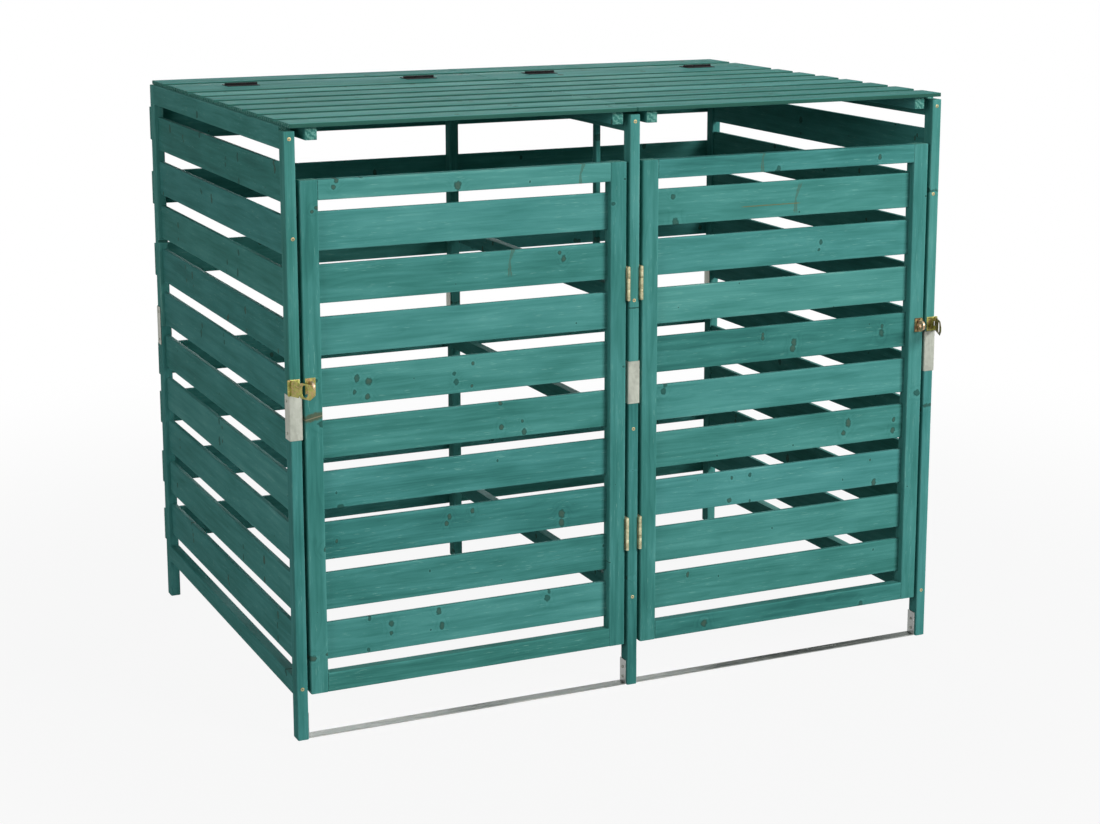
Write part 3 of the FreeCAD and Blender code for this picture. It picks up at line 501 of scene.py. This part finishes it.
def stained_pine():
    """Knotty pine under a thin blue-green stain, with its growth rings laid out in each board."""
    look = Look("stained_pine")
    grain = look.attribute("grain")
    along, across, depth = look.split(grain)
    tone, pith_across, pith_below = look.split(look.attribute("board"))
    wear, end, knotty = look.split(look.attribute("wear_shade_end_knots"))
    # the first value is the wear where it is above 0, and painted shade on the steps and ends of the roof
    # boards where it is below 0
    step_shade = look.math("MULTIPLY", wear, -1.0, clamp=True)
    wear = look.most(wear, 0.0)

    # knots, in three sizes
    wobble = look.remap(look.pattern("knot_wobble", grain), *NOISE_HALF, -KNOT_WOBBLE, KNOT_WOBBLE)
    share = look.span(knotty, *KNOTTY)
    large, large_tone = knot_rows(look, along, across, LARGE_KNOTS, share)
    paired, paired_tone = knot_rows(look, along, across, PAIRED_KNOTS, share)
    pin = knot_rows(look, along, across, PIN_KNOTS, PIN_SHARE)[0]
    branch = look.least(large, paired)
    nearest = look.least(branch, pin) + wobble
    knot = look.remap(nearest, *KNOT_EDGE)
    rim = look.remap(nearest, *RIM_INNER) * look.remap(nearest, *RIM_OUTER)
    halo = look.remap(nearest, *HALO_INNER) * look.remap(nearest, *HALO_OUTER)
    swirl = look.remap(branch, *SWIRL_EDGE)
    knot_tone = look.most(large_tone * (large < KNOT_TONE_WITHIN),
                          paired_tone * (paired < KNOT_TONE_WITHIN))

    # growth rings round the pith, which wanders along the board and bulges round the knots
    wander = look.span(look.pattern("pith_wander", grain), -WANDER_MM, WANDER_MM)
    radius = look.hypot(across - pith_across, depth - pith_below) + wander + swirl * BULGE_MM
    ring = look.math("FRACT", radius / RING_MM)
    late = look.math("POWER", ring, RING_POWER) * look.remap(ring, *RING_BREAK)

    # streaks of fibre, broad and fine, and pale lines of resin
    broad, fine, fibre, blotch = (look.pattern(name, grain) for name in ("broad", "fine", "fibre", "blotch"))
    resin = look.remap(look.pattern("resin", grain), 0.66, 0.73) * look.remap(broad, 0.48, 0.56)

    # how light the stain is
    parts = {"broad": broad, "fine": fine, "fibre": fibre, "blotch": blotch, "late": late, "halo": halo}
    light = tone * TONE_SHARE + 0.5
    for name, shades in SHADES.items():
        light = light + look.span(parts[name], *shades)
    light = light - swirl * SWIRL_SHADE + wear * look.remap(fine, *NOISE_HALF, *WEAR_SHADE)
    colour = look.ramp(light, STAIN)
    bluish = look.remap(pith_across, -PITH_ACROSS_MM, PITH_ACROSS_MM, 0.0, BLUEST, smooth=False)
    colour = look.mix(bluish, colour, look.mix(1.0, colour, BLUER, "MULTIPLY"))
    colour = look.coat("resin", resin, colour, RESIN)

    # knots take the stain darker, some of them greyish brown
    heart = look.mix(look.remap(knot_tone, 0.35, 0.75), GREEN_HEART, BROWN_HEART)
    rings_in_knot = look.remap(look.math("SINE", nearest * KNOT_RINGS), -1, 1)
    heart = look.coat("knot ring", rings_in_knot, heart, KNOT_RING)
    colour = look.coat("knot", knot, colour, heart)
    colour = look.coat("knot rim", rim, colour, KNOT_RIM)
    colour = marked(look, colour, wobble, fibre)

    # sawn ends, with arcs of the rings and slanting saw marks
    slant = (across + depth * SAW_SLANT) * SAW_PER_MM + wobble * SAW_WOBBLE
    saw = look.remap(look.math("SINE", slant), -0.6, 1.0, 0.0, 0.6) + fibre * 0.4
    sawn = look.mix(look.remap(saw, 0.1, 0.85), SAWN_DARK, SAWN_LIGHT)
    sawn = look.coat("sawn ring", late, sawn, SAWN_RING)
    colour = look.mix(end, colour, sawn)

    # painted shade: the steps and ends of the roof boards are darkened, as shade falls between the boards
    colour = look.mix(step_shade * look.remap(fibre, *NOISE_MOST, *STEP_SHADE_COVER), colour, STEP_SHADE)

    parts.update(knot=knot, rim=rim, saw=saw * end)
    height = 0.0
    for name, share in HEIGHTS.items():
        height = parts[name] * share + height
    rough = look.remap(fine, 0.25, 0.75, *TIMBER_ROUGH, smooth=False) + end * SAWN_ROUGH
    return look.surface(Base_Color=colour, Roughness=rough, Specular_IOR_Level=TIMBER_SPECULAR,
                        Normal=look.bump(height, TIMBER_RELIEF, 0.6))


def place_in_mm(look):
    return look.stretch(look.value("TexCoord", "Object"), (MM, MM, MM))


def galvanised_steel():
    """Dull zinc coating with a faint spangle, handling marks and a few grey smears."""
    look = Look("galvanised_steel")
    place = place_in_mm(look)
    cells = look.value("TexVoronoi", "Color", [("Vector", place), ("Scale", SPANGLE_PER_MM)])
    spangle = look.split(cells)[0]
    smear = look.pattern("coat_smear", place)
    scratch = look.pattern("coat_scratch", place)
    light = look.span(spangle, *SPANGLE_SHADE) + look.remap(smear, *NOISE_MOST, *SMEAR_SHADE)
    light = light + look.remap(scratch, *NOISE_MOST, *SCRATCH_SHADE, smooth=False)
    return look.surface(Base_Color=look.ramp(light, ZINC_COAT), Metallic=COAT_METALLIC,
                        Roughness=look.span(spangle, *COAT_ROUGH),
                        Normal=look.bump(scratch * 0.4 + smear * 0.8, COAT_RELIEF, 0.5))


def strap_steel():
    """Bright flat steel bar, with rolling lines along its length, dull patches, and a painted dark reflection
    on its upward faces.
    """
    look = Look("strap_steel")
    place = place_in_mm(look)
    lines = look.pattern("bar_lines", place)
    patch = look.pattern("bar_patch", place)
    light = lines * 0.5 + patch * 0.5
    upward = look.split(look.value("TexCoord", "Normal"))[2]
    # painted dark reflection on the faces that look up
    colour = look.mix(look.remap(upward, *DARK_REFLECTION_UP), look.ramp(light, BRIGHT_BAR),
                      look.ramp(light, DARK_REFLECTION_BAR))
    return look.surface(Base_Color=colour, Metallic=BAR_METALLIC,
                        Roughness=look.remap(patch, *NOISE_HALF, *BAR_ROUGH),
                        Normal=look.bump(lines, BAR_RELIEF, 0.5))


def plated(name, light_colour, colour, dark_colour, tint, metallic, rough, specular=0.5):
    """Plated steel: cloudy plating, a tint that comes and goes, fine scratches and grime."""
    look = Look(name)
    place = place_in_mm(look)
    cloud, hue, scratch = (look.pattern("plate_" + name, place) for name in ("cloud", "hue", "scratch"))
    mixed = look.ramp(cloud, list(zip(CLOUD_STOPS, (dark_colour, colour, light_colour))))
    mixed = look.mix(look.remap(hue, *TINTED), mixed, tint)
    mixed = look.mix(look.remap(scratch, *SCRATCHED, 0.0, SCRATCH_COVER), mixed, light_colour)
    dull = look.remap(cloud, *NOISE_HALF, *rough) + look.remap(scratch, *NOISE_HALF, 0.0, SCRATCH_DULL)
    return look.surface(Base_Color=mixed, Metallic=metallic, Roughness=dull,
                        Specular_IOR_Level=specular, Normal=look.bump(scratch, PLATE_RELIEF, 0.5))


PINE = stained_pine()
GALVANISED = galvanised_steel()
STRAP = strap_steel()
BRASS = plated("brass_plate", srgb(218, 214, 182), srgb(184, 180, 142), srgb(120, 114, 82),
               srgb(194, 180, 146), metallic=0.65, rough=(0.34, 0.48))
ZINC = plated("yellow_zinc", srgb(196, 194, 112), srgb(164, 164, 82), srgb(120, 122, 60),
              srgb(196, 156, 118), metallic=0.55, rough=(0.30, 0.44))
# painted dark reflection: a darker copy of the yellow zinc, for the hasps of the right door
DARK_REFLECTION_ZINC = plated("dark_reflection_zinc", srgb(158, 152, 104), srgb(108, 104, 62), srgb(64, 58, 38),
                   srgb(124, 88, 66), metallic=0.55, rough=(0.30, 0.46))
EYE = plated("yellow_zinc_eye", srgb(226, 212, 176), srgb(208, 180, 140), srgb(160, 130, 92),
             srgb(216, 170, 148), metallic=0.55, rough=(0.28, 0.42))
SCREW = plated("screw_zinc", srgb(226, 212, 162), srgb(200, 178, 122), srgb(116, 92, 58),
               srgb(200, 148, 104), metallic=0.6, rough=(0.30, 0.44))
BLACK = plated("black_steel", srgb(36, 36, 38), srgb(16, 16, 17), srgb(8, 8, 9),
               srgb(26, 24, 23), metallic=0.0, rough=(0.55, 0.70), specular=0.12)


def low_high(points):
    low = Vector(min(point[axis] for point in points) for axis in range(3))
    high = Vector(max(point[axis] for point in points) for axis in range(3))
    return low, high


def linked(start):
    """All corners of the solid that a corner belongs to."""
    found = {start}
    queue = [start]
    while queue:
        for edge in queue.pop().link_edges:
            for vert in edge.verts:
                if vert not in found:
                    found.add(vert)
                    queue.append(vert)
    return found


def node_shape(node):
    """A node's own shape, with its doubled corners merged."""
    shape = bmesh.new()
    shape.from_mesh(frame["nodes"][node].data)
    bmesh.ops.remove_doubles(shape, verts=shape.verts, dist=MERGE)
    return shape


def flatten(shape, angle):
    """Make each flat side of a shape one face."""
    bmesh.ops.dissolve_limit(shape, angle_limit=angle, verts=shape.verts, edges=shape.edges)


def islands(node):
    """The corners of each separate solid of a node, in a steady order."""
    shape = node_shape(node)
    found = []
    left = set(shape.verts)
    while left:
        island = linked(next(iter(left)))
        left -= island
        found.append([vert.co.copy() for vert in island])
    shape.free()
    return sorted(found, key=lambda points: tuple(round(value, 4) for value in low_high(points)[0]))


def finished(name, shape, material, node, sharp=SHARP):
    """Turn a finished shape into a piece that stands for a node and rides on its body."""
    mesh = bpy.data.meshes.new(name)
    bmesh.ops.recalc_face_normals(shape, faces=shape.faces)
    shape.to_mesh(mesh)
    shape.free()
    mesh.polygons.foreach_set("use_smooth", [True] * len(mesh.polygons))
    mesh.set_sharp_from_angle(angle=sharp)
    mesh.materials.append(material)
    piece = bpy.data.objects.new(name, mesh)
    bpy.context.scene.collection.objects.link(piece)
    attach(piece, frame["nodes"][node]["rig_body"])
    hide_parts(node)


def eased(corners, radius):
    """An outline as (spot, wear) points: its outward corners rounded, with a worn band beside each.

    The corners run anticlockwise, and the wear is from 0 on the faces to 1 on the edges.
    """
    points = []
    for step, corner in enumerate(corners):
        before = corner - corners[step - 1]
        after = corners[(step + 1) % len(corners)] - corner
        into = before.normalized()
        out = after.normalized()
        turn = math.atan2(into.cross(out), into.dot(out))
        if turn < SHARP:
            points.append((corner, 0.0))
            continue
        reach = radius * math.tan(turn / 2)
        centre = corner - into * reach + radius * Vector((-into.y, into.x))
        room = [min(WORN_BAND, side.length / 2 - reach - LEAST_FACE) for side in (before, after)]
        points.append((corner - into * (reach + room[0]), 0.0))
        for share in range(ROUND_STEPS + 1):
            spoke = Matrix.Rotation(turn * share / ROUND_STEPS, 2) @ Vector((into.y, -into.x))
            wear = STARTING_WEAR if share in (0, ROUND_STEPS) else FULL_WEAR
            points.append((centre + radius * spoke, wear))
        points.append((corner + out * (reach + room[1]), 0.0))
    return points


def rectangle(half_width, half_depth):
    return [Vector((across * half_width, depth * half_depth))
            for across, depth in ((1, -1), (1, 1), (-1, 1), (-1, -1))]


def plank(shape, low, high, radius, name, corners=None):
    """One board between two corners: rounded along its length and sawn off at its ends.

    Its section is a rectangle, unless its corners are given, from the middle of the board. Its name
    is its node and its number in it.
    """
    layers = shape.loops.layers.float_vector
    grain, board, wear_shade_end_knots, mark = (layers.get(layer) or layers.new(layer)
                                  for layer in ("grain", "board", "wear_shade_end_knots", "mark"))
    chance = random.Random("{} {}".format(*name))
    mark_along, mark_across, kind = MARKS.get(name, UNMARKED)
    size = high - low
    length, width, depth = sorted(range(3), key=lambda axis: -size[axis])
    centre = (low + high) / 2
    half = size / 2
    outline = eased(corners or rectangle(half[width], half[depth]), radius)
    reach = half[length]
    stations = [(-reach, END_CHAMFER, 1.0), (END_CHAMFER - reach, 0.0, 0.5),
                (END_CHAMFER + WORN_BAND - reach, 0.0, 0.0)]
    stations += [(-place, inset, edge) for place, inset, edge in reversed(stations)]
    offset = chance.uniform(0, GRAIN_START_MM)
    flip = chance.choice((-1, 1))
    traits = (chance.gauss(0, TONE_SPREAD), chance.uniform(-PITH_ACROSS_MM, PITH_ACROSS_MM),
              flip * chance.uniform(*PITH_BELOW_MM))
    knotty = chance.random()

    rings = []
    for place, inset, edge in stations:
        ring = []
        for spot, wear in outline:
            point = centre.copy()
            point[length] += place
            point[width] += spot.x * (1 - inset / half[width])
            point[depth] += spot.y * (1 - inset / half[depth])
            local = Vector((place * MM + offset, spot.x * MM, spot.y * MM))
            from_mark = (place * MM - mark_along, spot.x * MM - mark_across, kind)
            ring.append((shape.verts.new(point), local, max(wear, edge), from_mark))
        rings.append(ring)

    def face(corners, end):
        made = shape.faces.new([corner[0] for corner in corners])
        for loop, (_, local, wear, from_mark) in zip(made.loops, corners):
            loop[grain] = local
            loop[board] = traits
            loop[wear_shade_end_knots] = (wear, end, knotty)
            loop[mark] = from_mark

    count = len(outline)
    for first, second in zip(rings, rings[1:]):
        for step in range(count):
            after = (step + 1) % count
            face((first[step], first[after], second[after], second[step]), 0.0)
    for ring in (rings[0], rings[-1]):
        face([(vert, local, 0.0, from_mark) for vert, local, _, from_mark in ring], 1.0)


def timber(node):
    """Boards in the place of each solid of a node."""
    radius = next((radius for word, radius in EDGE_ROUNDS if word in node), OTHER_ROUND)
    shape = bmesh.new()
    for count, points in enumerate(islands(node)):
        low, high = low_high(points)
        plank(shape, low, high, radius, (node, count))
    finished(node + "_timber", shape, PINE, node)


def roof_boards(node):
    """Boards that lap each other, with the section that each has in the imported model."""
    solid = node_shape(node)
    flatten(solid, FLAT_TIMBER)
    shape = bmesh.new()
    ends = [face for face in solid.faces if face.normal.x > ENDWISE]
    for count, end in enumerate(sorted(ends, key=lambda face: face.calc_center_median().y)):
        low, high = low_high([vert.co for vert in linked(end.verts[0])])
        centre = (low + high) / 2
        corners = [Vector((vert.co.y - centre.y, vert.co.z - centre.z)) for vert in end.verts]
        plank(shape, low, high, BOARD_ROUND, (node, count), corners)
    solid.free()
    # painted shade: the steps and ends of each board carry a value below 0 in place of their wear, which
    # darkens them in the stain
    wear_shade_end_knots = shape.loops.layers.float_vector["wear_shade_end_knots"]
    for face in shape.faces:
        face.normal_update()
        if abs(face.normal.z) < STEEP:
            for loop in face.loops:
                loop[wear_shade_end_knots].x = -abs(face.normal.y) - END_SHADE_SHARE * abs(face.normal.x)
    finished(node + "_timber", shape, PINE, node)


def all_timber():
    for node in sorted(frame["nodes"]):
        if "boards" in node:
            roof_boards(node)
        elif SLOTS[node] == "stained_pine":
            timber(node)


def folded(shape, path, sheet, low, high, run, across, up):
    """Sheet bent along a path of corners, of even thickness, with rounded bends.

    The path lies in the plane of the axes across and up, on the sheet's outer face. It turns left by
    a right angle at each corner, and the sheet lies to the left of it, from low to high along run.
    """
    outer = []
    inner = []
    for step, corner in enumerate(path):
        corner = Vector(corner)
        if step in (0, len(path) - 1):
            other = Vector(path[1 if step == 0 else -2])
            way = (other - corner if step == 0 else corner - other).normalized()
            left = Vector((-way.y, way.x))
            outer.append(corner)
            inner.append(corner + sheet * left)
            continue
        into = (corner - Vector(path[step - 1])).normalized()
        left_in = Vector((-into.y, into.x))
        centre = corner - BEND_RADIUS * into + BEND_RADIUS * left_in
        for turn in range(BEND_STEPS + 1):
            angle = math.pi / 2 * turn / BEND_STEPS
            way = -left_in * math.cos(angle) + into * math.sin(angle)
            outer.append(centre + BEND_RADIUS * way)
            inner.append(centre + (BEND_RADIUS - sheet) * way)
    profile = outer + inner[::-1]
    rings = []
    for place in (low, high):
        ring = []
        for spot in profile:
            point = Vector((0, 0, 0))
            point[run] = place
            point[across] = spot.x
            point[up] = spot.y
            ring.append(shape.verts.new(point))
        rings.append(ring)
    count = len(profile)
    for step in range(count):
        after = (step + 1) % count
        shape.faces.new((rings[0][step], rings[0][after], rings[1][after], rings[1][step]))
    for ring in rings:
        for step in range(len(outer) - 1):
            mates = (ring[step], ring[step + 1], ring[count - 2 - step], ring[count - 1 - step])
            shape.faces.new(mates)


def soften(shape, width, steps=2):
    """Round the sharp edges of a shape a little."""
    sharp = [edge for edge in shape.edges if len(edge.link_faces) == 2 and edge.calc_face_angle(0) > SHARP]
    bmesh.ops.bevel(shape, geom=sharp, offset=width, segments=steps, profile=0.5, affect="EDGES",
                    clamp_overlap=True)


def sheet_metal(name, shape, material, node):
    bmesh.ops.recalc_face_normals(shape, faces=shape.faces)
    soften(shape, SHEET_EDGE, 1)
    finished(name, shape, material, node)


def post_sleeves():
    """Sheet folded round each post from its outer face."""
    shape = bmesh.new()
    for points in islands("post_sleeves"):
        low, high = low_high(points)
        if low.y + high.y < 0:
            path = [(low.x, high.y), (low.x, low.y), (high.x, low.y), (high.x, high.y)]
        else:
            path = [(high.x, low.y), (high.x, high.y), (low.x, high.y), (low.x, low.y)]
        folded(shape, path, SLEEVE_SHEET, low.z, high.z, 2, 0, 1)
    sheet_metal("folded_post_sleeves", shape, GALVANISED, "post_sleeves")


def ground_straps():
    """Flat bar across each doorway, bent up against the posts."""
    shape = bmesh.new()
    for points in islands("ground_straps"):
        low, high = low_high(points)
        path = [(low.x, high.z), (low.x, low.z), (high.x, low.z), (high.x, high.z)]
        folded(shape, path, STRAP_SHEET, low.y, high.y, 1, 0, 2)
    sheet_metal("bent_ground_straps", shape, STRAP, "ground_straps")


def screw_frame(points):
    """Where a screw's head is: middle of its outer face, the way it looks, its radius and length."""
    low, high = low_high(points)
    size = high - low
    axis = max(range(3), key=lambda number: size[number])
    middle = (low + high) / 2
    others = [number for number in range(3) if number != axis]
    radius = max(size[number] for number in others) / 2
    wide = [point[axis] for point in points
            if math.hypot(*(point[number] - middle[number] for number in others)) > HEAD_EDGE * radius]
    outward = 1 if sum(wide) / len(wide) > middle[axis] else -1
    face = middle.copy()
    face[axis] = high[axis] if outward > 0 else low[axis]
    way = Vector((0, 0, 0))
    way[axis] = outward
    return face, way, radius, size[axis]


def screw_head(shape, face, way, radius, length, rise, turn):
    """A countersunk or low domed head with a cross recess, and its tapered shank."""
    place = Matrix.Translation(face) @ way.to_track_quat("Z", "X").to_matrix().to_4x4()
    place = place @ Matrix.Rotation(turn, 4, "Z")

    def circle(size, height):
        angles = [math.tau * step / HEAD_SIDES for step in range(HEAD_SIDES)]
        return [shape.verts.new(place @ Vector((size * math.cos(angle), size * math.sin(angle), height)))
                for angle in angles]

    def cross(share, height):
        arm = radius * RECESS_ARM * share
        width = radius * RECESS_WIDTH * share
        corners = []
        for quarter in range(4):
            spin = Matrix.Rotation(math.pi / 2 * quarter, 4, "Z")
            for spot in ((width, -width), (arm, -width), (arm, width)):
                corners.append(shape.verts.new(place @ spin @ Vector((spot[0], spot[1], height))))
        return corners

    def wall(first, second):
        for step in range(len(first)):
            after = (step + 1) % len(first)
            shape.faces.new((first[step], first[after], second[after], second[step]))

    tip = circle(radius * TIP, -length * TIP_DEPTH)
    neck = circle(radius * NECK, -length * NECK_DEPTH)
    low_rim = circle(radius, -RIM_DEPTH)
    rim = circle(radius * RIM, rise * 0.5)
    dome = circle(radius * DOME, rise)
    mouth = cross(1.0, rise)
    pit = cross(RECESS_TAPER, rise - radius * RECESS_DEPTH)
    for first, second in ((tip, neck), (neck, low_rim), (low_rim, rim), (rim, dome), (mouth, pit)):
        wall(first, second)

    # the dome's top, from its edge to the twelve corners of the cross, of which the first lies an
    # eighth of a turn before the dome's first point
    start = -HEAD_SIDES // 8
    edge = dome[start:] + dome[:start]
    share = len(edge) // len(mouth)
    for step, corner in enumerate(mouth):
        fan = [edge[(step * share + part) % len(edge)] for part in range(share + 1)]
        for first, second in zip(fan, fan[1:]):
            shape.faces.new((first, second, corner))
        shape.faces.new((fan[-1], mouth[(step + 1) % len(mouth)], corner))
    shape.faces.new(pit)
    shape.faces.new(tip)


def screws(node):
    """Detailed screws in the place of a node's plain ones, in steel on the sleeves and straps."""
    zinc = bmesh.new()
    steel = bmesh.new()
    chance = random.Random(node)
    steel_parts = [low_high(points) for name in ("post_sleeves", "ground_straps") for points in islands(name)]
    for points in islands(node):
        face, way, radius, length = screw_frame(points)
        on_steel = any(all(low[axis] - NEAR_STEEL <= face[axis] <= high[axis] + NEAR_STEEL
                           for axis in range(3)) for low, high in steel_parts)
        shape = steel if on_steel and length < SHORT_SCREW else zinc
        rise = LARGE_RISE if radius > LARGE_HEAD else SMALL_RISE
        if on_steel:
            radius *= STEEL_HEAD
        screw_head(shape, face, way, radius, length, rise, chance.uniform(0, math.pi / 2))
    finished(node + "_heads", zinc, SCREW, node, sharp=SHARP_ON_HEADS)
    if steel.faces:
        finished(node + "_steel_heads", steel, GALVANISED, node, SHARP_ON_HEADS)
    else:
        steel.free()


def all_screws():
    for node, slot in sorted(SLOTS.items()):
        if slot == "yellow_zinc_screws":
            screws(node)


def hardware(node, material, width):
    """The node's own shape with its sharp edges eased, as pressed and turned metal has them."""
    shape = node_shape(node)
    flatten(shape, FLAT_METAL)
    soften(shape, width)
    finished(node + "_eased", shape, material, node)


def all_hardware():
    for node, slot in sorted(SLOTS.items()):
        if "turning_staple" in node:
            hardware(node, EYE, EYE_EDGE)
        # the right door's hasps get the darker copy of the zinc, a painted dark reflection
        elif slot == "yellow_zinc" and node.startswith("right_"):
            hardware(node, DARK_REFLECTION_ZINC, PLATE_EDGE)
        elif slot == "brass":
            hardware(node, BRASS, PLATE_EDGE)
        elif slot == "yellow_zinc":
            hardware(node, ZINC, PLATE_EDGE)
        elif slot == "black_steel":
            hardware(node, BLACK, PLATE_EDGE)


def floor():
    """A pale floor that shows white to the camera and keeps a soft shadow."""
    look = Look("studio_floor")
    look.surface(Base_Color=FLOOR_GREY, Roughness=FLOOR_ROUGHNESS)
    lit = Value(look, look.shader.outputs[0])
    glow = look.value("Emission", 0, [("Color", WHITE), ("Strength", 1.0)])
    away = look.value("VectorMath", "Value", [(0, look.value("TexCoord", "Object"))], operation="LENGTH")
    white = look.remap(away, SHADED_WITHIN, WHITE_BEYOND, SHADED_WHITE, 1.0)
    share = look.seen("Camera", "Glossy") * white
    above = look.value("MixShader", 0, [(0, share), (1, lit), (2, glow)])
    below = look.value("BsdfTransparent", 0)
    behind = look.value("NewGeometry", "Backfacing")
    sided = look.value("MixShader", 0, [(0, behind), (1, above), (2, below)])
    look.put(look.tree.nodes["Material Output"].inputs["Surface"], sided)

    mesh = bpy.data.meshes.new("studio_floor")
    corners = [(-1, -1, 0), (1, -1, 0), (1, 1, 0), (-1, 1, 0)]
    mesh.from_pydata([FLOOR_REACH * Vector(corner) for corner in corners], [], [(0, 1, 2, 3)])
    mesh.materials.append(look.material)
    plane = bpy.data.objects.new("studio_floor", mesh)
    bpy.context.scene.collection.objects.link(plane)


def world():
    """Soft light from all round, and white behind the object."""
    made = bpy.data.worlds.new("studio")
    bpy.context.scene.world = made
    made.use_nodes = True
    made.node_tree.nodes.clear()
    nodes = Nodes(made.node_tree)
    strength = nodes.span(nodes.seen("Camera", "Glossy", "Transmission"), AMBIENT, 1.0)
    light = nodes.value("Background", 0, [("Color", WHITE), ("Strength", strength)])
    nodes.add("OutputWorld", [("Surface", light)])


def lamps():
    for name, (spot, (width, height), power) in LAMPS.items():
        data = bpy.data.lights.new(name, "AREA")
        data.shape = "RECTANGLE"
        data.size = width
        data.size_y = height
        data.energy = power
        lamp = bpy.data.objects.new(name, data)
        lamp.location = spot
        lamp.rotation_euler = (AIM - Vector(spot)).to_track_quat("-Z", "Y").to_euler()
        bpy.context.scene.collection.objects.link(lamp)


def camera():
    """The photograph's view: turned and tipped as its corners show, with the frame moved down."""
    yaw, pitch, roll = (math.radians(angle) for angle in (CAMERA_YAW, CAMERA_PITCH, CAMERA_ROLL))
    ahead = Vector((math.sin(yaw) * math.cos(pitch), math.cos(yaw) * math.cos(pitch), -math.sin(pitch)))
    level = Vector((math.cos(yaw), -math.sin(yaw), 0))
    raised = level.cross(ahead)
    right = level * math.cos(roll) + raised * math.sin(roll)
    up = right.cross(ahead)
    data = bpy.data.cameras.new("camera")
    data.sensor_width = SENSOR
    data.lens = FOCAL_PIXELS / IMAGE_WIDTH * SENSOR
    data.shift_y = CAMERA_SHIFT
    made = bpy.data.objects.new("camera", data)
    made.matrix_world = Matrix.Translation(CAMERA_SPOT) @ Matrix((right, up, -ahead)).transposed().to_4x4()
    bpy.context.scene.collection.objects.link(made)
    bpy.context.scene.camera = made


all_timber()
post_sleeves()
ground_straps()
all_screws()
all_hardware()
floor()
world()
lamps()
camera()
bpy.context.scene.view_settings.view_transform = "Standard"
